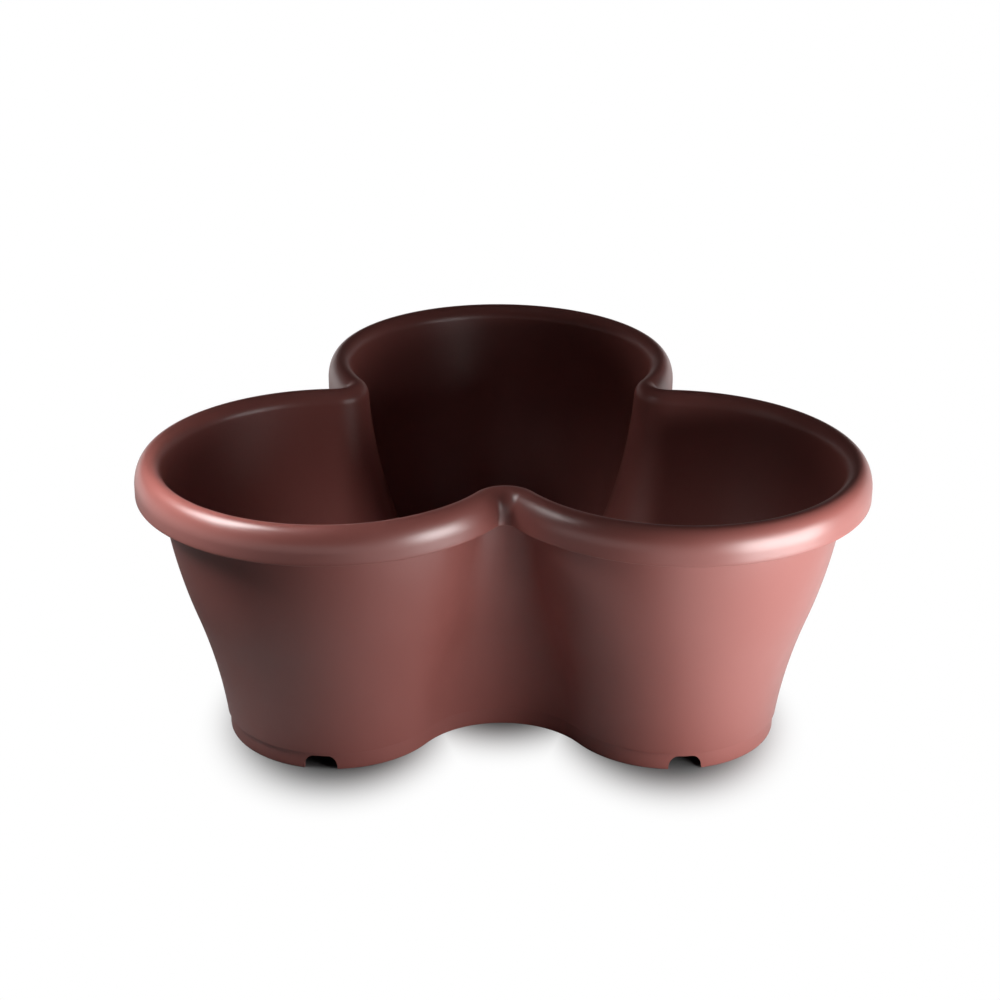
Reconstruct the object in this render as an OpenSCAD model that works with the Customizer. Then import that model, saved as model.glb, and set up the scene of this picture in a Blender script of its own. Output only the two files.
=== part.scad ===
// Plant pot of three round lobes that run into each other, with a rolled rim that turns
// down all the way round, a raised floor on a notched foot ring, and in each lobe a push-in
// drain plug under a lift-out drain grid that lies on posts.
//
// The plan of every level is the same figure: three lobe arcs round the lobe axes, joined by
// three hollow arcs round the hollow axes. A surface at radius r from a lobe axis lies at
// hollow_reach - r from a hollow axis, so the arcs meet smoothly at every level.

/* [Plan] */
// Diameter of one lobe over the rim
rim_d = 212.5; // [204:0.5:220]
// Overlap of two neighbouring lobes, measured over their rims
lobe_overlap = 25; // [15:0.5:30]
// Radius of the hollow between two lobes, on the outside of the rim
hollow_r = 5.5; // [4:0.5:12]

/* [Height] */
// Height of the pot
pot_h = 162.5; // [140:0.5:190]
// Height of the foot ring, from the ground to the step in the wall
foot_h = 10.6; // [9:0.1:12]
// Height of the floor's upper face above the ground
floor_h = 13; // [12:0.1:16]

/* [Walls] */
// Thickness of the wall and of the rolled rim
wall_t = 2.2; // [1.8:0.1:3]
// Thickness of the floor
floor_t = 2.2; // [1.8:0.1:3]
// Thickness of the foot ring
foot_t = 2.4; // [1.8:0.1:3]
// Diameter of one lobe at the bottom of the wall
wall_foot_d = 125; // [118:0.5:130]
// Depth of the step from the wall in to the foot ring
foot_step = 1.4; // [0.5:0.1:2.5]
// Slant of the wall at the step, from upright
foot_slant = 7; // [3:0.5:9]
// Slant of the wall under the rim, from upright
top_slant = 4; // [1:0.5:7]
// Radius of the corner between wall and floor
floor_corner_r = 4; // [2:0.5:6]

/* [Rim] */
// Height of the rim, from its lower edge to its crest
rim_h = 19; // [17:0.5:26]
// Drop of the outer shoulder, from the crest to where the skirt is upright
shoulder_h = 13; // [9:0.5:15]
// Width of the outer shoulder, from the crest to the skirt's outer face
shoulder_w = 8; // [6:0.5:10]
// Drop of the rim's inner slope, from the crest to the wall
lip_in_h = 8.5; // [6:0.5:12]
// Width of the rim's inner slope, from the crest to the inside of the wall
lip_in_w = 7; // [5:0.5:9]
// Radius of the skirt's lower edge
edge_r = 0.6; // [0.3:0.1:0.9]

/* [Drain notches] */
// Width of a notch in the foot ring
notch_w = 18.2; // [10:0.2:22]
// Height of the foot ring that is left above a notch
notch_cover = 2.3; // [1.5:0.1:5]
// Width of a notch's rounded upper corners
notch_corner_w = 5.2; // [2:0.1:8]
// Height of those corners
notch_corner_h = 7.2; // [2:0.1:8]
// Angle of a notch from its lobe's outward direction
notch_angle = 54.5; // [40:0.5:80]

/* [Drain plugs] */
// Diameter of the drain hole in each lobe's floor
drain_d = 16; // [12:0.5:20]
// Gap between plug and drain hole, all round
plug_gap = 0.25; // [0.15:0.05:0.5]
// Diameter of the plug's flange
flange_d = 26; // [24:0.5:32]
// Thickness of the plug's flange
flange_t = 2; // [1.5:0.1:3]
// Depth of the plug's shank below the floor's upper face
shank_h = 5.6; // [4:0.1:6.5]
// Thickness of the shank's wall
shank_t = 1.8; // [1.2:0.1:2.4]
// Chamfer of the shank's lower end
shank_chamfer = 0.8; // [0.4:0.1:1]
// Width of the plug's finger tab
tab_w = 13; // [8:0.5:16]
// Height of the finger tab above the flange
tab_h = 7; // [6.5:0.5:8]
// Thickness of the finger tab
tab_t = 2.6; // [2:0.1:4]

/* [Drain grids] */
// Gap between the edge of a drain grid and the wall, where the grid is lowest
grid_gap = 4; // [2:0.5:8]
// Thickness of the grid's plate
grid_t = 2.4; // [1.8:0.1:3.5]
// Height of the posts that carry the grid, from the floor to its plate
post_h = 20; // [19:0.5:26]
// Diameter of a post
post_d = 7; // [5:0.5:8]
// Gap between the posts and the band round the edge of the grid
post_gap = 1; // [0.5:0.1:3]
// Height of the band round the edge of the grid
band_h = 5.5; // [4:0.5:7]
// Thickness of that band
band_t = 2; // [1.5:0.1:3]
// Diameter of a hole in the grid
hole_d = 6; // [4:0.5:7]
// Distance from each ring of holes to the next
hole_pitch = 12; // [11:0.5:12.5]

/* [Hidden] */

pot_color = "sienna";
grid_color = "dimgray";
plug_color = "darkolivegreen";

// One name for the overrun of every cut
cut_over = 1;

// Directions of the three lobes, and of the three hollows between them
lobes = 3;
half_turn = 180;
back_angle = 90;
left_angle = 210;
right_angle = 330;
lobe_angles = [back_angle, left_angle, right_angle];
third = 2 * half_turn / lobes;
sixth = third / 2;

// Distances of the lobe axes and the hollow axes from the pot's own axis
rim_r = rim_d / 2;
lobe_pitch = rim_d - lobe_overlap;
lobe_reach = lobe_pitch / 2 / sin(sixth);
hollow_reach = rim_r + hollow_r;
hollow_axis = lobe_reach * cos(sixth) + sqrt(pow(hollow_reach, 2) - pow(lobe_pitch / 2, 2));

// Half of the angle that a lobe arc and a hollow arc each span
hollow_half = asin(lobe_pitch / 2 / hollow_reach);
lobe_half = sixth + hollow_half;

// The pot's axis stands off the middle of its bounding box, because the back has one lobe
// and the front has two
axis_y = -(lobe_reach - lobe_reach * cos(sixth)) / 2;

// Levels and radii of the section through one lobe
crest_r = rim_r - shoulder_w;
skirt_z = pot_h - rim_h;
shoulder_z = pot_h - shoulder_h;
wall_top_z = pot_h - lip_in_h;
wall_top_r = crest_r - lip_in_w + wall_t;
wall_foot_r = wall_foot_d / 2;
foot_r = wall_foot_r - foot_step;
foot_in_r = foot_r - foot_t;
foot_edge_r = min(edge_r, foot_t / 3);
skirt_edge_r = min(edge_r, wall_t / 3);
floor_under_z = floor_h - floor_t;
notch_h = foot_h - notch_cover;

// The wall is an ogee of two arcs of one radius. Its steepest slant follows from its
// height, its spread and the slants of its two ends.
wall_rise = wall_top_z - foot_h;
wall_ratio = wall_rise / (wall_top_r - wall_foot_r);
slant_cosines = cos(foot_slant) + cos(top_slant);
slant_sines = sin(foot_slant) + sin(top_slant);
slant_turn = (wall_ratio * slant_cosines + slant_sines) / (2 * sqrt(1 + pow(wall_ratio, 2)));
mid_slant = atan(1 / wall_ratio) + acos(min(1, slant_turn));
sweep_r = wall_rise / (2 * sin(mid_slant) - slant_sines);
bend_z = foot_h + sweep_r * (sin(mid_slant) - sin(foot_slant));
bend_r = wall_foot_r + sweep_r * (cos(foot_slant) - cos(mid_slant));

function lower_slant(z) = asin(sin(foot_slant) + (z - foot_h) / sweep_r);
function upper_slant(z) = asin(sin(mid_slant) - (z - bend_z) / sweep_r);
function wall_r(z) =
    z < bend_z
    ? wall_foot_r + sweep_r * (cos(foot_slant) - cos(lower_slant(z)))
    : bend_r + sweep_r * (cos(upper_slant(z)) - cos(mid_slant));

// Steps along a lobe, a hollow, the ogee, each curve of the rim, the floor's corner, the
// smallest edges and a notch's corner
lobe_steps = 24;
hollow_steps = 8;
wall_steps = 9;
rim_steps = 5;
corner_steps = 3;
edge_steps = 2;
notch_steps = 5;

// Points of an elliptic arc with half-widths a and b, from angle a0 to angle a1
function arc(cr, cz, a, b, a0, a1, steps) =
    [for (i = [0:steps]) let (t = a0 + (a1 - a0) * i / steps) [cr + a * cos(t), cz + b * sin(t)]];

// Points along the wall from level z0 to level z1, at an inset from its outer face
function wall_line(z0, z1, inset) =
    [for (i = [0:wall_steps]) let (z = z0 + (z1 - z0) * i / wall_steps) [wall_r(z) - inset, z]];

// Every point of a line but its first
function rest(line) = [for (i = [1:len(line) - 1]) line[i]];

// Level and radius where the corner round the floor ends
corner_z = floor_h + floor_corner_r;
corner_r = wall_r(corner_z) - wall_t - floor_corner_r;

// The section through one lobe, as [radius, level] points: under the floor, the foot ring, the
// step, the wall, the hollow under the rim, the skirt, the crest, and down the inside
section_line = concat(
    [[foot_in_r, floor_under_z], [foot_in_r, 0]],
    arc(foot_r - foot_edge_r, foot_edge_r, foot_edge_r, foot_edge_r, -90, 0, edge_steps),
    [[foot_r, foot_h]],
    wall_line(foot_h, wall_top_z, 0),
    rest(arc(crest_r, wall_top_z, lip_in_w - wall_t, lip_in_h - wall_t, 180, 90, rim_steps)),
    rest(arc(crest_r, shoulder_z, shoulder_w - wall_t, shoulder_h - wall_t, 90, 0, rim_steps)),
    [[rim_r - wall_t, skirt_z]],
    arc(rim_r - skirt_edge_r, skirt_z + skirt_edge_r, skirt_edge_r, skirt_edge_r, -90, 0, edge_steps),
    arc(crest_r, shoulder_z, shoulder_w, shoulder_h, 0, 90, rim_steps),
    rest(arc(crest_r, wall_top_z, lip_in_w, lip_in_h, 90, 180, rim_steps)),
    rest(wall_line(wall_top_z, corner_z, wall_t)),
    rest(arc(corner_r, corner_z, floor_corner_r, floor_corner_r, 0, -90, corner_steps))
);

// A plan point on a lobe arc of radius r, and one on a ray that leaves the hollow axis after
// that lobe, at distance q
function lobe_point(r, angle, i) =
    let (t = angle - lobe_half + 2 * lobe_half * i / lobe_steps)
    lobe_reach * [cos(angle), sin(angle)] + r * [cos(t), sin(t)];
function hollow_point(q, angle, i) =
    let (t = angle + sixth + half_turn + hollow_half - 2 * hollow_half * i / hollow_steps)
    hollow_axis * [cos(angle + sixth), sin(angle + sixth)] + q * [cos(t), sin(t)];

// The pot's figure at lobe radius r, once round
function figure(r) = [
    for (angle = lobe_angles)
        for (p = concat(
            [for (i = [0:lobe_steps]) lobe_point(r, angle, i)],
            [for (i = [1:hollow_steps - 1]) hollow_point(hollow_reach - r, angle, i)]
        ))
            p
];

// The triangle between the lobe axes, with its sides divided by the rays of the hollows, and
// then its middle
function middle_figure() = concat(
    [
        for (angle = lobe_angles, i = [0:hollow_steps - 1])
            let (t = hollow_half - 2 * hollow_half * i / hollow_steps)
            hollow_point(hollow_reach * cos(hollow_half) / cos(t), angle, i)
    ],
    [[0, 0]]
);

// Counts of the points round the figure, from lobe to lobe, and round the middle triangle
turn_points = lobe_steps + hollow_steps;
around_points = lobes * turn_points;
middle_points = lobes * hollow_steps;

// Faces that close the figure on one level, from the number of the level's first point on the
// figure and of its first point on the middle triangle
function level_faces(first, middle) = concat(
    [
        for (k = [0:lobes - 1], i = [0:lobe_steps - 1])
            let (n = first + k * turn_points + i)
            [n, n + 1, middle + k * hollow_steps]
    ],
    [
        for (k = [0:lobes - 1], i = [0:hollow_steps - 1])
            let (n = k * turn_points + lobe_steps + i, m = k * hollow_steps + i)
            [
                first + n,
                first + (n + 1) % around_points,
                middle + (m + 1) % middle_points,
                middle + m
            ]
    ],
    [for (m = [0:middle_points - 1]) [middle + m, middle + (m + 1) % middle_points, middle + middle_points]]
);

// A face turned over
function turned(face) = [for (i = [len(face) - 1:-1:0]) face[i]];

// Puts children on a lobe axis, with +X away from the pot's axis
module at_lobe(angle) {
    translate([0, axis_y, 0])
        rotate(angle)
            translate([lobe_reach, 0, 0])
                children();
}

// The moulding before its notches and holes are cut: the section follows the figure round,
// and the floor closes it above and below
module pot_shell() {
    rows = len(section_line);
    under_middle = rows * around_points;
    upper_middle = under_middle + middle_points + 1;
    points = concat(
        [for (s = section_line, p = figure(s[0])) [p[0], p[1] + axis_y, s[1]]],
        [for (p = middle_figure()) [p[0], p[1] + axis_y, floor_under_z]],
        [for (p = middle_figure()) [p[0], p[1] + axis_y, floor_h]]
    );
    walls = [
        for (j = [0:rows - 2], i = [0:around_points - 1])
            let (n = j * around_points, k = (i + 1) % around_points)
            [n + around_points + i, n + around_points + k, n + k, n + i]
    ];
    under = level_faces(0, under_middle);
    upper = [for (face = level_faces((rows - 1) * around_points, upper_middle)) turned(face)];
    polyhedron(points = points, faces = concat(walls, under, upper), convexity = 8);
}

// Arch that cuts one drain notch through the foot ring, along +X
module notch_cut() {
    half_w = notch_w / 2;
    corner_w = min(notch_corner_w, half_w);
    corner_h = min(notch_corner_h, notch_h);
    translate([foot_in_r - cut_over, 0, 0])
        rotate([90, 0, 90])
            linear_extrude(foot_t + 2 * cut_over)
                polygon(concat(
                    [[-half_w, -cut_over], [half_w, -cut_over]],
                    arc(half_w - corner_w, notch_h - corner_h, corner_w, corner_h, 0, 90, notch_steps),
                    arc(corner_w - half_w, notch_h - corner_h, corner_w, corner_h, 90, 180, notch_steps)
                ));
}

// Places of the grid and of the posts that carry it, in one lobe
plate_z = floor_h + post_h;
band_z = plate_z + grid_t - band_h;
band_cut_h = cut_over + band_h - grid_t / 2;
grid_r = wall_r(band_z) - wall_t - grid_gap;
post_count = 6;
post_ring_r = grid_r - band_t - post_gap - post_d / 2;
hole_rings = floor((post_ring_r - post_d / 2 - hole_d / 2) / hole_pitch);

module posts() {
    for (angle = lobe_angles, i = [0:post_count - 1])
        at_lobe(angle)
            rotate((i + 0.5) * 2 * half_turn / post_count)
                translate([post_ring_r, 0, floor_h - floor_t / 2])
                    cylinder(d = post_d, h = post_h + floor_t / 2, $fn = 32);
}

module pot_body() {
    color(pot_color)
        difference() {
            union() {
                pot_shell();
                posts();
            }
            for (angle = lobe_angles, side = [-1, 1])
                at_lobe(angle)
                    rotate(side * notch_angle)
                        notch_cut();
            for (angle = lobe_angles)
                at_lobe(angle)
                    translate([0, 0, floor_under_z - cut_over])
                        cylinder(d = drain_d, h = floor_t + 2 * cut_over, $fn = 60);
        }
}

// Round drain grid, which lies on the posts: a plate with rings of holes, and a band that
// turns down round its edge
module drain_grid(angle) {
    color(grid_color)
        at_lobe(angle)
            difference() {
                union() {
                    translate([0, 0, plate_z])
                        cylinder(r = grid_r, h = grid_t, $fn = 120);
                    translate([0, 0, band_z])
                        difference() {
                            cylinder(r = grid_r, h = band_h, $fn = 120);
                            translate([0, 0, -cut_over])
                                cylinder(r = grid_r - band_t, h = band_cut_h, $fn = 120);
                        }
                }
                translate([0, 0, plate_z - cut_over])
                    cylinder(d = hole_d, h = grid_t + 2 * cut_over, $fn = 24);
                for (ring = [1:hole_rings], i = [0:6 * ring - 1])
                    rotate(i * third / (2 * ring))
                        translate([ring * hole_pitch, 0, plate_z - cut_over])
                            cylinder(d = hole_d, h = grid_t + 2 * cut_over, $fn = 24);
            }
}

module drain_grid_back() {
    drain_grid(back_angle);
}

module drain_grid_left() {
    drain_grid(left_angle);
}

module drain_grid_right() {
    drain_grid(right_angle);
}

// Drain plug: a flange that lies on the floor round the hole, a hollow shank in the hole,
// and a finger tab with a round top
shank_r = drain_d / 2 - plug_gap;
tab_round_share = 0.93;
tab_round_h = tab_h * tab_round_share;
tab_steps = 18;

module drain_plug(angle) {
    shank_line = [
        [shank_r - shank_t, -shank_h],
        [shank_r - shank_chamfer, -shank_h],
        [shank_r, shank_chamfer - shank_h],
        [shank_r, 0],
        [flange_d / 2, 0],
        [flange_d / 2, flange_t],
        [0, flange_t],
        [0, 0],
        [shank_r - shank_t, 0]
    ];
    color(plug_color)
        at_lobe(angle)
            translate([0, 0, floor_h])
                union() {
                    rotate_extrude($fn = 60)
                        polygon(shank_line);
                    translate([0, tab_t / 2, flange_t / 2])
                        rotate([90, 0, 0])
                            linear_extrude(tab_t)
                                polygon(concat(
                                    [[-tab_w / 2, 0], [tab_w / 2, 0]],
                                    arc(
                                        0,
                                        flange_t / 2 + tab_h - tab_round_h,
                                        tab_w / 2,
                                        tab_round_h,
                                        0,
                                        half_turn,
                                        tab_steps
                                    )
                                ));
                }
}

module drain_plug_back() {
    drain_plug(back_angle);
}

module drain_plug_left() {
    drain_plug(left_angle);
}

module drain_plug_right() {
    drain_plug(right_angle);
}

pot_body();
drain_grid_back();
drain_grid_left();
drain_grid_right();
drain_plug_back();
drain_plug_left();
drain_plug_right();
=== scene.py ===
import math

import bmesh
import bpy
from mathutils import Matrix, Vector

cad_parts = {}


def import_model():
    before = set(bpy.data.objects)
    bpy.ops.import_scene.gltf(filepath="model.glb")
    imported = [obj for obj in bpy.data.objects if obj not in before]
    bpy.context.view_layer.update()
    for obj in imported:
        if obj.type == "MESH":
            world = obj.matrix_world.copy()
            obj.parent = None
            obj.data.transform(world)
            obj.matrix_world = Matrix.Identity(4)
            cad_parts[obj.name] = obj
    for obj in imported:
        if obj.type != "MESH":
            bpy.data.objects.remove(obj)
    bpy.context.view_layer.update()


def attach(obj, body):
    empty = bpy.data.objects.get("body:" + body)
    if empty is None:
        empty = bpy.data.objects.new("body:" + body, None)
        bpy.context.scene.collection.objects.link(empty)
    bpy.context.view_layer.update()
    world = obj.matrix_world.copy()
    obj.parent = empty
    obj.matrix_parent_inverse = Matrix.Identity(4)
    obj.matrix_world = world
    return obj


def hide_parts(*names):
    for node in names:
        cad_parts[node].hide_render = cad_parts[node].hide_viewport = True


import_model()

MM = 0.001

# Sizes in millimetres, as part.scad has them
RIM_D = 212.5
LOBE_OVERLAP = 25.0
HOLLOW_R = 5.5
POT_H = 162.5
FOOT_H = 10.6
FLOOR_H = 13.0
WALL_T = 2.2
FLOOR_T = 2.2
FOOT_T = 2.4
WALL_FOOT_D = 125.0
FOOT_STEP = 1.4
FOOT_SLANT = math.radians(7.0)
TOP_SLANT = math.radians(4.0)
FLOOR_CORNER_R = 4.0
RIM_H = 19.0
SHOULDER_H = 13.0
SHOULDER_W = 8.0
LIP_IN_H = 8.5
LIP_IN_W = 7.0
EDGE_R = 0.6
NOTCH_W = 18.2
NOTCH_COVER = 2.3
NOTCH_CORNER_W = 5.2
NOTCH_CORNER_H = 7.2
NOTCH_ANGLE = math.radians(54.5)
DRAIN_D = 16.0
PLUG_GAP = 0.25
FLANGE_D = 26.0
FLANGE_T = 2.0
SHANK_H = 5.6
SHANK_T = 1.8
SHANK_CHAMFER = 0.8
TAB_W = 13.0
TAB_H = 7.0
TAB_T = 2.6
TAB_ROUND_SHARE = 0.93
GRID_GAP = 4.0
GRID_T = 2.4
POST_H = 20.0
POST_D = 7.0
POST_GAP = 1.0
BAND_H = 5.5
BAND_T = 2.0
HOLE_D = 6.0
HOLE_PITCH = 12.0
HOLES_A_RING = 6
POST_COUNT = 6
CUT_OVER = 1.0

# Sizes that follow from them
LOBES = {"back": math.radians(90.0), "left": math.radians(210.0), "right": math.radians(330.0)}
LOBE_ANGLES = list(LOBES.values())
LOBE_COUNT = len(LOBES)
SIXTH = math.radians(60.0)
RIM_R = RIM_D / 2
LOBE_PITCH = RIM_D - LOBE_OVERLAP
LOBE_REACH = LOBE_PITCH / 2 / math.sin(SIXTH)
HOLLOW_REACH = RIM_R + HOLLOW_R
HOLLOW_AXIS = LOBE_REACH * math.cos(SIXTH) + math.sqrt(HOLLOW_REACH ** 2 - (LOBE_PITCH / 2) ** 2)
HOLLOW_HALF = math.asin(LOBE_PITCH / 2 / HOLLOW_REACH)
LOBE_HALF = SIXTH + HOLLOW_HALF
AXIS_Y = -(LOBE_REACH - LOBE_REACH * math.cos(SIXTH)) / 2
CREST_R = RIM_R - SHOULDER_W
SKIRT_Z = POT_H - RIM_H
SHOULDER_Z = POT_H - SHOULDER_H
WALL_TOP_Z = POT_H - LIP_IN_H
WALL_TOP_R = CREST_R - LIP_IN_W + WALL_T
WALL_FOOT_R = WALL_FOOT_D / 2
FOOT_R = WALL_FOOT_R - FOOT_STEP
FOOT_IN_R = FOOT_R - FOOT_T
FLOOR_UNDER_Z = FLOOR_H - FLOOR_T
NOTCH_H = FOOT_H - NOTCH_COVER

# Steps of the fine mesh
LOBE_STEPS = 110
HOLLOW_STEPS = 40
WALL_STEPS = 48
RIM_STEPS = 14
CORNER_STEPS = 8
EDGE_STEPS = 4
FOOT_STEPS = 6
SKIRT_IN_STEPS = 2
SKIRT_OUT_STEPS = 3
NOTCH_CORNER_STEPS = 12
DRAIN_STEPS = 72
POST_STEPS = 32
GRID_STEPS = 180
GRID_EDGE_STEPS = 6
GRID_HOLE_STEPS = 32
PLUG_STEPS = 96
TAB_STEPS = 36

# Roundings that only the fine meshes of grid and plug have, in millimetres
SOFT_EDGE_R = 0.5

# Points of the section closer than this, in millimetres, are one point, and a turned point
# nearer the axis than this lies on it
SAME_POINT = 1e-4
ON_AXIS = 1e-6

# Edges sharper than this aren't smoothed over
SHARP_ANGLE = math.radians(32.0)


# The pot's shape

def ogee():
    """The two arcs of the wall: their radius, and the point where one turns into the other."""
    rise = WALL_TOP_Z - FOOT_H
    ratio = rise / (WALL_TOP_R - WALL_FOOT_R)
    cosines = math.cos(FOOT_SLANT) + math.cos(TOP_SLANT)
    sines = math.sin(FOOT_SLANT) + math.sin(TOP_SLANT)
    turn = (ratio * cosines + sines) / (2 * math.sqrt(1 + ratio ** 2))
    mid = math.atan(1 / ratio) + math.acos(min(1.0, turn))
    sweep = rise / (2 * math.sin(mid) - sines)
    bend_z = FOOT_H + sweep * (math.sin(mid) - math.sin(FOOT_SLANT))
    bend_r = WALL_FOOT_R + sweep * (math.cos(FOOT_SLANT) - math.cos(mid))
    return mid, sweep, bend_z, bend_r


MID_SLANT, SWEEP_R, BEND_Z, BEND_R = ogee()


def wall_r(z):
    """Radius of the wall's outer face at a level."""
    if z < BEND_Z:
        slant = math.asin(math.sin(FOOT_SLANT) + (z - FOOT_H) / SWEEP_R)
        return WALL_FOOT_R + SWEEP_R * (math.cos(FOOT_SLANT) - math.cos(slant))
    slant = math.asin(math.sin(MID_SLANT) - (z - BEND_Z) / SWEEP_R)
    return BEND_R + SWEEP_R * (math.cos(slant) - math.cos(MID_SLANT))


# Places of the grid and of the posts that carry it
PLATE_Z = FLOOR_H + POST_H
BAND_Z = PLATE_Z + GRID_T - BAND_H
GRID_R = wall_r(BAND_Z) - WALL_T - GRID_GAP
POST_RING_R = GRID_R - BAND_T - POST_GAP - POST_D / 2
HOLE_RINGS = math.floor((POST_RING_R - POST_D / 2 - HOLE_D / 2) / HOLE_PITCH)


def arc(cr, cz, a, b, start, end, steps):
    """Points of an elliptic arc in the section, from angle start to angle end in degrees."""
    out = []
    for i in range(steps + 1):
        t = math.radians(start + (end - start) * i / steps)
        out.append((cr + a * math.cos(t), cz + b * math.sin(t)))
    return out


def line(r0, z0, r1, z1, steps):
    """Points of a straight line in the section."""
    return [(r0 + (r1 - r0) * i / steps, z0 + (z1 - z0) * i / steps) for i in range(steps + 1)]


def wall_line(z0, z1, inset):
    """Points along the wall between two levels, set in from its outer face."""
    levels = [z0 + (z1 - z0) * i / WALL_STEPS for i in range(WALL_STEPS + 1)]
    return [(wall_r(z) - inset, z) for z in levels]


def section():
    """The section through one lobe, from under the floor round the outside to the floor."""
    foot_edge = min(EDGE_R, FOOT_T / 3)
    skirt_edge = min(EDGE_R, WALL_T / 3)
    skirt_edge_z = SKIRT_Z + skirt_edge
    skirt_in_r = RIM_R - WALL_T
    corner_z = FLOOR_H + FLOOR_CORNER_R
    corner_r = wall_r(corner_z) - WALL_T - FLOOR_CORNER_R
    runs = [
        line(FOOT_IN_R, FLOOR_UNDER_Z, FOOT_IN_R, 0.0, FOOT_STEPS),
        arc(FOOT_R - foot_edge, foot_edge, foot_edge, foot_edge, -90, 0, EDGE_STEPS),
        line(FOOT_R, foot_edge, FOOT_R, FOOT_H, FOOT_STEPS),
        wall_line(FOOT_H, WALL_TOP_Z, 0.0),
        arc(CREST_R, WALL_TOP_Z, LIP_IN_W - WALL_T, LIP_IN_H - WALL_T, 180, 90, RIM_STEPS),
        arc(CREST_R, SHOULDER_Z, SHOULDER_W - WALL_T, SHOULDER_H - WALL_T, 90, 0, RIM_STEPS),
        line(skirt_in_r, SHOULDER_Z, skirt_in_r, skirt_edge_z, SKIRT_IN_STEPS),
        arc(skirt_in_r + skirt_edge, skirt_edge_z, skirt_edge, skirt_edge, 180, 270, EDGE_STEPS),
        arc(RIM_R - skirt_edge, skirt_edge_z, skirt_edge, skirt_edge, -90, 0, EDGE_STEPS),
        line(RIM_R, skirt_edge_z, RIM_R, SHOULDER_Z, SKIRT_OUT_STEPS),
        arc(CREST_R, SHOULDER_Z, SHOULDER_W, SHOULDER_H, 0, 90, 2 * RIM_STEPS),
        arc(CREST_R, WALL_TOP_Z, LIP_IN_W, LIP_IN_H, 90, 180, RIM_STEPS),
        wall_line(WALL_TOP_Z, corner_z, WALL_T),
        arc(corner_r, corner_z, FLOOR_CORNER_R, FLOOR_CORNER_R, 0, -90, CORNER_STEPS),
    ]
    out = []
    for run in runs:
        for p in run:
            if not out or math.dist(p, out[-1]) > SAME_POINT:
                out.append(p)
    return out


def lobe_point(r, angle, i):
    """Point i of the arc of radius r round the axis of the lobe at this angle."""
    t = angle - LOBE_HALF + 2 * LOBE_HALF * i / LOBE_STEPS
    return (LOBE_REACH * math.cos(angle) + r * math.cos(t),
            LOBE_REACH * math.sin(angle) + r * math.sin(t) + AXIS_Y)


def hollow_point(q, angle, i):
    """Point i of the arc of radius q round the axis of the hollow that follows this lobe."""
    t = angle + SIXTH + math.pi + HOLLOW_HALF - 2 * HOLLOW_HALF * i / HOLLOW_STEPS
    return (HOLLOW_AXIS * math.cos(angle + SIXTH) + q * math.cos(t),
            HOLLOW_AXIS * math.sin(angle + SIXTH) + q * math.sin(t) + AXIS_Y)


def figure(r):
    """The pot's plan at lobe radius r, once round."""
    out = []
    for angle in LOBE_ANGLES:
        out += [lobe_point(r, angle, i) for i in range(LOBE_STEPS + 1)]
        out += [hollow_point(HOLLOW_REACH - r, angle, i) for i in range(1, HOLLOW_STEPS)]
    return out


def middle_figure():
    """The triangle between the lobe axes, divided by the rays of the hollows."""
    out = []
    for angle in LOBE_ANGLES:
        for i in range(HOLLOW_STEPS):
            t = HOLLOW_HALF - 2 * HOLLOW_HALF * i / HOLLOW_STEPS
            out.append(hollow_point(HOLLOW_REACH * math.cos(HOLLOW_HALF) / math.cos(t), angle, i))
    return out


def lobe_axis(angle):
    return Vector((LOBE_REACH * math.cos(angle), LOBE_REACH * math.sin(angle) + AXIS_Y, 0.0))


def close_level(bm, ring, level, facing_up):
    """Closes the figure on one level: a fan in each lobe, strips in the hollows, a middle."""
    turn = LOBE_STEPS + HOLLOW_STEPS
    around = LOBE_COUNT * turn
    count = LOBE_COUNT * HOLLOW_STEPS
    middle = [bm.verts.new((x * MM, y * MM, level * MM)) for x, y in middle_figure()]
    centre = bm.verts.new((0.0, AXIS_Y * MM, level * MM))
    faces = []
    for k in range(LOBE_COUNT):
        for i in range(LOBE_STEPS):
            n = k * turn + i
            faces.append((ring[n], ring[n + 1], middle[k * HOLLOW_STEPS]))
        for i in range(HOLLOW_STEPS):
            n = k * turn + LOBE_STEPS + i
            m = k * HOLLOW_STEPS + i
            faces.append((ring[n], ring[(n + 1) % around], middle[(m + 1) % count], middle[m]))
    for m in range(count):
        faces.append((middle[m], middle[(m + 1) % count], centre))
    for f in faces:
        bm.faces.new(f if facing_up else tuple(reversed(f)))


def new_object(name, bm):
    """A new object from a bmesh, which is freed."""
    mesh = bpy.data.meshes.new(name)
    bm.to_mesh(mesh)
    bm.free()
    obj = bpy.data.objects.new(name, mesh)
    bpy.context.scene.collection.objects.link(obj)
    return obj


def pot_shell():
    """The whole moulding in one closed mesh, before its notches and holes are cut."""
    bm = bmesh.new()
    rings = []
    for r, z in section():
        rings.append([bm.verts.new((x * MM, y * MM, z * MM)) for x, y in figure(r)])
    count = len(rings[0])
    for a, b in zip(rings, rings[1:]):
        for i in range(count):
            k = (i + 1) % count
            bm.faces.new((a[i], a[k], b[k], b[i]))
    close_level(bm, rings[0], FLOOR_UNDER_Z, False)
    close_level(bm, rings[-1], FLOOR_H, True)
    bmesh.ops.recalc_face_normals(bm, faces=bm.faces)
    return new_object("pot_shell", bm)


def add_prism(bm, outline, place, low, high):
    """Adds a closed prism: outline in its XY plane, from low to high along its Z, put in place."""
    bottom = [bm.verts.new(place @ Vector((x, y, low)) * MM) for x, y in outline]
    top = [bm.verts.new(place @ Vector((x, y, high)) * MM) for x, y in outline]
    n = len(outline)
    bm.faces.new(tuple(reversed(bottom)))
    bm.faces.new(tuple(top))
    for i in range(n):
        k = (i + 1) % n
        bm.faces.new((bottom[i], bottom[k], top[k], top[i]))


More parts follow.
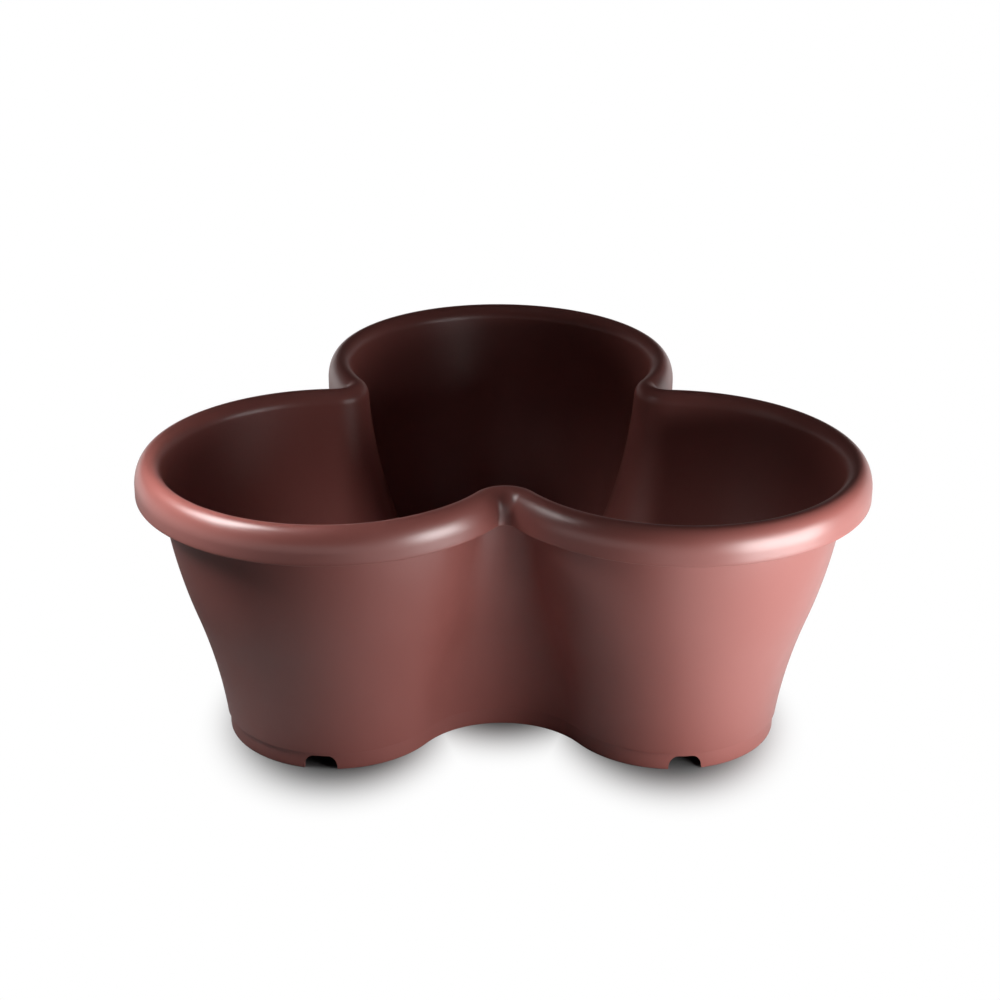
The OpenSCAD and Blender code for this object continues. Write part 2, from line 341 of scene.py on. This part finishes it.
def add_turned(bm, outline, steps):
    """Adds a closed solid: an outline of (radius, level) points turned round Z."""
    rings = []
    for r, z in outline:
        if r < ON_AXIS:
            rings.append([bm.verts.new((0.0, 0.0, z * MM))] * steps)
            continue
        rings.append([bm.verts.new((x * MM, y * MM, z * MM)) for x, y in circle(r, steps)])
    for a, b in zip(rings, rings[1:] + rings[:1]):
        for i in range(steps):
            k = (i + 1) % steps
            corners = []
            for v in (a[i], a[k], b[k], b[i]):
                if v not in corners:
                    corners.append(v)
            if len(corners) > 2:
                bm.faces.new(corners)


def notch_outline():
    """The notch as seen from outside, from below the ground up to its rounded corners."""
    half = NOTCH_W / 2
    start = NOTCH_H - NOTCH_CORNER_H
    out = [(-half, -CUT_OVER), (half, -CUT_OVER)]
    corner_r = half - NOTCH_CORNER_W
    sizes = (start, NOTCH_CORNER_W, NOTCH_CORNER_H)
    out += arc(corner_r, *sizes, 0, 90, NOTCH_CORNER_STEPS)
    out += arc(-corner_r, *sizes, 90, 180, NOTCH_CORNER_STEPS)
    return out


def circle(radius, steps):
    turns = [2 * math.pi * i / steps for i in range(steps)]
    return [(radius * math.cos(t), radius * math.sin(t)) for t in turns]


def solid(name, bm):
    """A new object from closed solids whose faces are turned outwards first."""
    bmesh.ops.recalc_face_normals(bm, faces=bm.faces)
    return new_object(name, bm)


def pot_cuts():
    """The notches and the drain holes, as one tool."""
    bm = bmesh.new()
    outwards = Matrix(((0, 0, 1, 0), (1, 0, 0, 0), (0, 1, 0, 0), (0, 0, 0, 1)))
    notch = notch_outline()
    drain = circle(DRAIN_D / 2, DRAIN_STEPS)
    for angle in LOBE_ANGLES:
        centre = Matrix.Translation(lobe_axis(angle))
        for side in (-1, 1):
            place = centre @ Matrix.Rotation(angle + side * NOTCH_ANGLE, 4, "Z") @ outwards
            add_prism(bm, notch, place, FOOT_IN_R - CUT_OVER, FOOT_R + CUT_OVER)
        add_prism(bm, drain, centre, FLOOR_UNDER_Z - CUT_OVER, FLOOR_H + CUT_OVER)
    return solid("pot_cuts", bm)


def posts():
    """The posts on the pot's floor, as one tool."""
    bm = bmesh.new()
    post = circle(POST_D / 2, POST_STEPS)
    out = Matrix.Translation((POST_RING_R, 0.0, 0.0))
    for angle in LOBE_ANGLES:
        for i in range(POST_COUNT):
            turn = Matrix.Rotation(angle + (i + 0.5) * 2 * math.pi / POST_COUNT, 4, "Z")
            place = Matrix.Translation(lobe_axis(angle)) @ turn @ out
            add_prism(bm, post, place, FLOOR_H - FLOOR_T / 2, PLATE_Z)
    return solid("posts", bm)


def combine(base, tools, name):
    """The base's mesh after its tools are added or cut away, smooth but for its edges."""
    for operation, tool in tools:
        step = base.modifiers.new(operation, "BOOLEAN")
        step.operation = operation
        step.solver = "EXACT"
        step.object = tool
    graph = bpy.context.evaluated_depsgraph_get()
    mesh = bpy.data.meshes.new_from_object(base.evaluated_get(graph))
    for obj in [base] + [tool for operation, tool in tools]:
        bpy.data.objects.remove(obj, do_unlink=True)
    mesh.name = name
    for polygon in mesh.polygons:
        polygon.use_smooth = True
    mesh.set_sharp_from_angle(angle=SHARP_ANGLE)
    return mesh


def place_mesh(mesh, name):
    obj = bpy.data.objects.new(name, mesh)
    bpy.context.scene.collection.objects.link(obj)
    return obj


def grid_mesh():
    """A drain grid about its own axis, with its outer edges rounded."""
    edge = SOFT_EDGE_R
    top = PLATE_Z + GRID_T
    outline = [(0.0, PLATE_Z), (GRID_R - BAND_T, PLATE_Z)]
    outline += arc(GRID_R - BAND_T + edge, BAND_Z + edge, edge, edge, 180, 270, EDGE_STEPS)
    outline += arc(GRID_R - edge, BAND_Z + edge, edge, edge, -90, 0, EDGE_STEPS)
    outline += arc(GRID_R - edge, top - edge, edge, edge, 0, 90, GRID_EDGE_STEPS)
    outline += [(0.0, top)]
    bm = bmesh.new()
    add_turned(bm, outline, GRID_STEPS)
    base = solid("grid", bm)
    holes = bmesh.new()
    spots = [(0.0, 0.0)]
    for ring in range(1, HOLE_RINGS + 1):
        spots += circle(ring * HOLE_PITCH, HOLES_A_RING * ring)
    hole = circle(HOLE_D / 2, GRID_HOLE_STEPS)
    for x, y in spots:
        place = Matrix.Translation((x, y, 0.0))
        add_prism(holes, hole, place, PLATE_Z - CUT_OVER, top + CUT_OVER)
    return combine(base, [("DIFFERENCE", solid("holes", holes))], "drain_grid")


def plug_mesh():
    """A drain plug about its own axis, with its flange's edges rounded."""
    edge = SOFT_EDGE_R
    shank_r = DRAIN_D / 2 - PLUG_GAP
    under = FLOOR_H
    shank_end = under - SHANK_H
    top = FLOOR_H + FLANGE_T
    outline = [
        (0.0, under),
        (shank_r - SHANK_T, under),
        (shank_r - SHANK_T, shank_end),
        (shank_r - SHANK_CHAMFER, shank_end),
        (shank_r, shank_end + SHANK_CHAMFER),
        (shank_r, under),
    ]
    outline += arc(FLANGE_D / 2 - edge, under + edge, edge, edge, -90, 0, EDGE_STEPS)
    outline += arc(FLANGE_D / 2 - edge, top - edge, edge, edge, 0, 90, EDGE_STEPS)
    outline += [(0.0, top)]
    bm = bmesh.new()
    add_turned(bm, outline, PLUG_STEPS)
    base = solid("plug", bm)
    tab = bmesh.new()
    start = under + FLANGE_T / 2
    round_h = TAB_H * TAB_ROUND_SHARE
    shape = [(-TAB_W / 2, start), (TAB_W / 2, start)]
    shape += arc(0.0, top + TAB_H - round_h, TAB_W / 2, round_h, 0, 180, TAB_STEPS)
    place = Matrix(((1, 0, 0, 0), (0, 0, -1, 0), (0, 1, 0, 0), (0, 0, 0, 1)))
    add_prism(tab, shape, place, -TAB_T / 2, TAB_T / 2)
    return combine(base, [("UNION", solid("tab", tab))], "drain_plug")


# Materials

# Sockets of a Mix node in colour mode, which share their names with its other modes
MIX_A = 6
MIX_B = 7
MIX_RESULT = 2


class Nodes:
    """Short calls for a material's nodes."""

    def __init__(self, name):
        self.material = bpy.data.materials.new(name)
        self.material.use_nodes = True
        self.tree = self.material.node_tree
        self.tree.nodes.clear()

    @classmethod
    def on(cls, tree):
        """The same calls for a tree that is there already."""
        made = cls.__new__(cls)
        made.tree = tree
        tree.nodes.clear()
        return made

    def add(self, kind, **inputs):
        node = self.tree.nodes.new(kind)
        for key, value in inputs.items():
            node.inputs[key.replace("_", " ")].default_value = value
        return node

    def link(self, a, out, b, to):
        self.tree.links.new(a.outputs[out], b.inputs[to])

    def noise(self, where, scale, detail, roughness=0.5):
        node = self.add("ShaderNodeTexNoise", Scale=scale, Detail=detail, Roughness=roughness)
        self.link(where, "Object", node, "Vector")
        return node

    def span(self, source, out, low, high, start=0.25, end=0.75):
        """Maps a texture from start..end to low..high."""
        node = self.add("ShaderNodeMapRange")
        node.inputs["From Min"].default_value = start
        node.inputs["From Max"].default_value = end
        node.inputs["To Min"].default_value = low
        node.inputs["To Max"].default_value = high
        self.link(source, out, node, "Value")
        return node

    def mix(self, factor, a, b):
        """A colour between a and b, by a factor's first output."""
        node = self.tree.nodes.new("ShaderNodeMix")
        node.data_type = "RGBA"
        node.inputs[MIX_A].default_value = a
        node.inputs[MIX_B].default_value = b
        self.link(factor, 0, node, 0)
        return node

    def bump(self, height, out, strength, distance, before=None):
        node = self.add("ShaderNodeBump", Strength=strength, Distance=distance)
        self.link(height, out, node, "Height")
        if before is not None:
            self.link(before, "Normal", node, "Normal")
        return node


# Each plastic: darkest and lightest colour, lowest and highest roughness, strength of the
# fine texture, and specular level
TERRACOTTA = ((0.265, 0.084, 0.072, 1.0), (0.288, 0.093, 0.080, 1.0), 0.32, 0.40, 0.2, 0.8)
BLACK = ((0.024, 0.022, 0.021, 1.0), (0.034, 0.032, 0.030, 1.0), 0.42, 0.55, 0.4, 0.5)
RUBBER = ((0.018, 0.020, 0.014, 1.0), (0.025, 0.027, 0.019, 1.0), 0.55, 0.68, 0.5, 0.5)

PLASTIC_IOR = 1.49

# Scale, in waves a metre, and detail of the four textures
FLOW_MARKS = (9.0, 3.0)
GLOSS_CLOUDS = (34.0, 2.0)
TOOL_TEXTURE = (1400.0, 2.0)
WALL_WAVES = (22.0, 1.0)

# Depth of the two bumps in metres, and strength of the slow one
WAVE_DEPTH = 0.0004
WAVE_STRENGTH = 0.25
TEXTURE_DEPTH = 0.00006


def plastic(name, dark, light, rough_low, rough_high, grain, gloss):
    """Moulded plastic: slow flow marks in its colour and gloss, and a fine tool texture."""
    n = Nodes(name)
    where = n.add("ShaderNodeTexCoord")
    flow = n.noise(where, *FLOW_MARKS)
    cloud = n.noise(where, *GLOSS_CLOUDS)
    fine = n.noise(where, *TOOL_TEXTURE)
    wave = n.noise(where, *WALL_WAVES)
    shader = n.add("ShaderNodeBsdfPrincipled")
    tone = n.mix(n.span(flow, "Fac", 0.0, 1.0), dark, light)
    n.link(tone, MIX_RESULT, shader, "Base Color")
    n.link(n.span(cloud, "Fac", rough_low, rough_high), "Result", shader, "Roughness")
    broad = n.bump(wave, "Fac", WAVE_STRENGTH, WAVE_DEPTH)
    small = n.bump(fine, "Fac", grain, TEXTURE_DEPTH, broad)
    n.link(small, "Normal", shader, "Normal")
    shader.inputs["IOR"].default_value = PLASTIC_IOR
    shader.inputs["Specular IOR Level"].default_value = gloss
    out = n.add("ShaderNodeOutputMaterial")
    n.link(shader, "BSDF", out, "Surface")
    return n.material


def give(obj, material):
    obj.data.materials.clear()
    obj.data.materials.append(material)


# Stage, lamps and camera

FLOOR_HALF = 12.0

# Painted shadow: the darker grey painted into the floor's colour under and round the pot's foot,
# and the floor's own grey away from it
PAINTED_SHADOW_AT_FOOT = 0.14
FLOOR_SHADE = 0.56

# Distances on the floor, in metres, over which camera rays begin to see it white, and over which
# the painted shadow in its colour lightens. The zone is measured from the lobe axes, and is
# squeezed in depth.
SHADOW_SQUEEZE = 0.7
SHADOW_NEAR = 0.035
SHADOW_FAR = 0.084

# The floor under the pot is never white, up to the foot ring's outer face
UNDER_POT_R = FOOT_R * MM
UNDER_POT_EDGE = 0.004

# Distances over which mirrored rays begin to see the floor white, on all sides, and along the
# key lamp's side as a painted pool of light, which the pot shows as a painted reflection
MIRRORED_NEAR = 0.18
MIRRORED_FAR = 0.75
PAINTED_POOL_SIDE = math.radians(57.0)
PAINTED_POOL_FROM = 0.13
PAINTED_POOL_TO = 0.22

# Heights of a mirrored ray's direction over which the world turns from white to its ceiling
CEILING_FROM = 0.0
CEILING_TO = 0.12
WORLD_LIGHT = 0.02

# Points that the lamps are aimed at, in metres
MIDDLE = Vector((0.0, AXIS_Y * MM, 0.085))
LEFT_RIM = Vector((-0.169, -0.141, 0.185))

# name, what it is aimed at, azimuth and elevation in degrees (0 is the camera's side,
# positive to its right), distance, width and height in metres, power in watts, spread in
# degrees, and whether the plastic mirrors it
LAMPS = [
    ("key_right", MIDDLE, 52.0, 4.0, 0.45, 0.28, 0.17, 1.65, 180.0, True),
    ("front_right", MIDDLE, 40.0, 8.0, 0.5, 0.16, 0.08, 0.17, 180.0, True),
    ("high_left", LEFT_RIM, -75.0, 53.0, 0.125, 0.12, 0.12, 0.13, 70.0, True),
    ("overhead", MIDDLE, -75.0, 84.0, 1.2, 0.3, 0.3, 0.45, 180.0, False),
    ("back_left", MIDDLE, -140.0, 9.0, 0.9, 0.5, 0.4, 2.6, 180.0, False),
    ("back_right", MIDDLE, 140.0, 9.0, 0.9, 0.5, 0.4, 2.6, 180.0, False),
]

# The camera as fitted to the outlines of the pot in the photograph: elevation, azimuth and
# roll, the point it looks at and its distance in metres, and its lens in sensor widths
CAMERA_ELEVATION = math.radians(23.362)
CAMERA_AZIMUTH = math.radians(-0.7458)
CAMERA_ROLL = math.radians(0.4254)
CAMERA_TARGET = Vector((-0.001264, AXIS_Y * MM, 0.110872))
CAMERA_DISTANCE = 1.17144
CAMERA_LENS = 2.02765
SENSOR_MM = 36.0
CLIP_NEAR = 0.05
CLIP_FAR = 60.0


def from_side(azimuth, elevation):
    """The direction from the pot to a lamp or camera. Azimuth 0 is the front."""
    return Vector((math.sin(azimuth) * math.cos(elevation),
                   -math.cos(azimuth) * math.cos(elevation),
                   math.sin(elevation)))


def ray_mask(n):
    """Two outputs: 1 on camera rays, and 1 on the glossy and transmission rays."""
    path = n.add("ShaderNodeLightPath")
    mirrored = n.add("ShaderNodeMath")
    mirrored.operation = "MAXIMUM"
    n.link(path, "Is Glossy Ray", mirrored, 0)
    n.link(path, "Is Transmission Ray", mirrored, 1)
    return path, mirrored


def either(n, path, mirrored, camera_part, mirrored_part):
    """The larger of two masked values: one for camera rays, one for mirrored rays."""
    pairs = ((path, "Is Camera Ray", camera_part), (mirrored, "Value", mirrored_part))
    seen = []
    for ray, key, part in pairs:
        node = n.add("ShaderNodeMath")
        node.operation = "MULTIPLY"
        node.inputs[1].default_value = 1.0
        n.link(ray, key, node, 0)
        if part is not None:
            n.link(part, 0, node, 1)
        seen.append(node)
    both = n.add("ShaderNodeMath")
    both.operation = "MAXIMUM"
    n.link(seen[0], "Value", both, 0)
    n.link(seen[1], "Value", both, 1)
    return both


def nearest_axis(n, where, key, squeeze):
    """The distance on the floor to the nearest of the lobe axes and the pot's middle."""
    nearest = None
    for spot in [lobe_axis(angle) for angle in LOBE_ANGLES] + [Vector((0.0, AXIS_Y, 0.0))]:
        away = n.add("ShaderNodeVectorMath")
        away.operation = "DISTANCE"
        away.inputs[1].default_value = (spot.x * MM, spot.y * MM * squeeze, 0.0)
        n.link(where, key, away, 0)
        if nearest is None:
            nearest = away
            continue
        least = n.add("ShaderNodeMath")
        least.operation = "MINIMUM"
        n.link(nearest, "Value", least, 0)
        n.link(away, "Value", least, 1)
        nearest = least
    return nearest


def floor():
    """A plain pale floor with the pot's shadow, cast by the lamps and painted round its foot.

    Camera rays see it white away from the pot, and mirrored rays see it white far off and, as a
    painted pool of light, on the key lamp's side.
    """
    bm = bmesh.new()
    bmesh.ops.create_grid(bm, x_segments=1, y_segments=1, size=FLOOR_HALF)
    obj = new_object("floor", bm)
    n = Nodes("floor")
    where = n.add("ShaderNodeNewGeometry")
    flat = n.add("ShaderNodeVectorMath")
    flat.operation = "MULTIPLY"
    flat.inputs[1].default_value = (1.0, SHADOW_SQUEEZE, 0.0)
    n.link(where, "Position", flat, 0)
    nearest = nearest_axis(n, flat, "Vector", SHADOW_SQUEEZE)
    outside = n.span(nearest_axis(n, where, "Position", 1.0), "Value", 0.0, 1.0,
                     UNDER_POT_R - UNDER_POT_EDGE, UNDER_POT_R)
    fade = n.span(nearest, "Value", 0.0, 1.0, SHADOW_NEAR, SHADOW_FAR)
    far_fade = n.span(nearest, "Value", 0.0, 1.0, MIRRORED_NEAR, MIRRORED_FAR)
    # Painted pool of light: white for mirrored rays on the key lamp's side, seen in the pot as a
    # painted reflection
    along = n.add("ShaderNodeVectorMath")
    along.operation = "DOT_PRODUCT"
    along.inputs[1].default_value = (math.sin(PAINTED_POOL_SIDE), -math.cos(PAINTED_POOL_SIDE), 0.0)
    n.link(flat, "Vector", along, 0)
    painted_pool = n.span(along, "Value", 0.0, 1.0, PAINTED_POOL_FROM, PAINTED_POOL_TO)
    for ramp in (fade, far_fade, painted_pool):
        ramp.interpolation_type = "SMOOTHERSTEP"
    shown = n.add("ShaderNodeMath")
    shown.operation = "MAXIMUM"
    n.link(far_fade, "Result", shown, 0)
    n.link(painted_pool, "Result", shown, 1)
    clear = n.add("ShaderNodeMath")
    clear.operation = "MULTIPLY"
    n.link(fade, "Result", clear, 0)
    n.link(outside, "Result", clear, 1)
    seen = either(n, *ray_mask(n), clear, shown)
    matt = n.add("ShaderNodeBsdfDiffuse")
    # Painted shadow: the floor's colour darkens from its own grey to the painted grey towards the
    # foot, along the same fade
    painted_shadow_grey = (PAINTED_SHADOW_AT_FOOT,) * 3 + (1.0,)
    open_floor = (FLOOR_SHADE,) * 3 + (1.0,)
    n.link(n.mix(fade, painted_shadow_grey, open_floor), MIX_RESULT, matt, "Color")
    white = n.add("ShaderNodeEmission")
    white.inputs["Strength"].default_value = 1.0
    both = n.add("ShaderNodeMixShader")
    n.link(seen, "Value", both, 0)
    n.link(matt, "BSDF", both, 1)
    n.link(white, "Emission", both, 2)
    out = n.add("ShaderNodeOutputMaterial")
    n.link(both, "Shader", out, "Surface")
    give(obj, n.material)


def world(strength):
    """Soft even light from all round.

    Camera rays see it white, and mirrored rays see it white low down and dark above.
    """
    made = bpy.data.worlds.new("studio")
    bpy.context.scene.world = made
    made.use_nodes = True
    n = Nodes.on(made.node_tree)
    where = n.add("ShaderNodeTexCoord")
    axes = n.add("ShaderNodeSeparateXYZ")
    n.link(where, "Generated", axes, "Vector")
    low = n.span(axes, "Z", 1.0, 0.0, CEILING_FROM, CEILING_TO)
    seen = either(n, *ray_mask(n), None, low)
    soft = n.add("ShaderNodeBackground", Strength=strength)
    white = n.add("ShaderNodeBackground", Strength=1.0)
    white.inputs["Color"].default_value = (1.0, 1.0, 1.0, 1.0)
    both = n.add("ShaderNodeMixShader")
    n.link(seen, "Value", both, 0)
    n.link(soft, "Background", both, 1)
    n.link(white, "Background", both, 2)
    out = n.add("ShaderNodeOutputWorld")
    n.link(both, "Shader", out, "Surface")


def lamp(name, aim, azimuth, elevation, distance, width, height, power, spread, mirrored):
    data = bpy.data.lights.new(name, "AREA")
    data.shape = "RECTANGLE"
    data.size = width
    data.size_y = height
    data.energy = power
    data.spread = math.radians(spread)
    obj = bpy.data.objects.new(name, data)
    back = from_side(math.radians(azimuth), math.radians(elevation))
    obj.location = aim + back * distance
    obj.rotation_mode = "QUATERNION"
    obj.rotation_quaternion = (-back).to_track_quat("-Z", "Y")
    obj.visible_camera = False
    obj.visible_glossy = mirrored
    bpy.context.scene.collection.objects.link(obj)


def camera():
    back = from_side(CAMERA_AZIMUTH, CAMERA_ELEVATION)
    data = bpy.data.cameras.new("camera")
    data.sensor_fit = "HORIZONTAL"
    data.sensor_width = SENSOR_MM
    data.lens = CAMERA_LENS * data.sensor_width
    data.clip_start = CLIP_NEAR
    data.clip_end = CLIP_FAR
    obj = bpy.data.objects.new("camera", data)
    obj.location = CAMERA_TARGET + back * CAMERA_DISTANCE
    obj.rotation_mode = "QUATERNION"
    obj.rotation_quaternion = ((-back).to_track_quat("-Z", "Y").to_matrix()
                               @ Matrix.Rotation(CAMERA_ROLL, 3, "Z")).to_quaternion()
    bpy.context.scene.collection.objects.link(obj)
    bpy.context.scene.camera = obj


# The scene

camera()
pot_tools = [("UNION", posts()), ("DIFFERENCE", pot_cuts())]
pot = place_mesh(combine(pot_shell(), pot_tools, "pot_moulding"), "pot_moulding")
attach(pot, "pot")
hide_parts("pot_body")
give(pot, plastic("terracotta_plastic", *TERRACOTTA))

LOOSE = (
    ("grid", grid_mesh(), plastic("black_plastic", *BLACK)),
    ("plug", plug_mesh(), plastic("plug_rubber", *RUBBER)),
)
for kind, mesh, material in LOOSE:
    for place, angle in LOBES.items():
        piece = mesh.copy()
        piece.transform(Matrix.Translation(lobe_axis(angle) * MM) @ Matrix.Rotation(angle, 4, "Z"))
        obj = place_mesh(piece, f"{kind}_{place}_mesh")
        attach(obj, f"{kind}_{place}")
        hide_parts(f"drain_{kind}_{place}")
        give(obj, material)

floor()
world(WORLD_LIGHT)
for spec in LAMPS:
    lamp(*spec)

bpy.context.scene.view_settings.view_transform = "Standard"
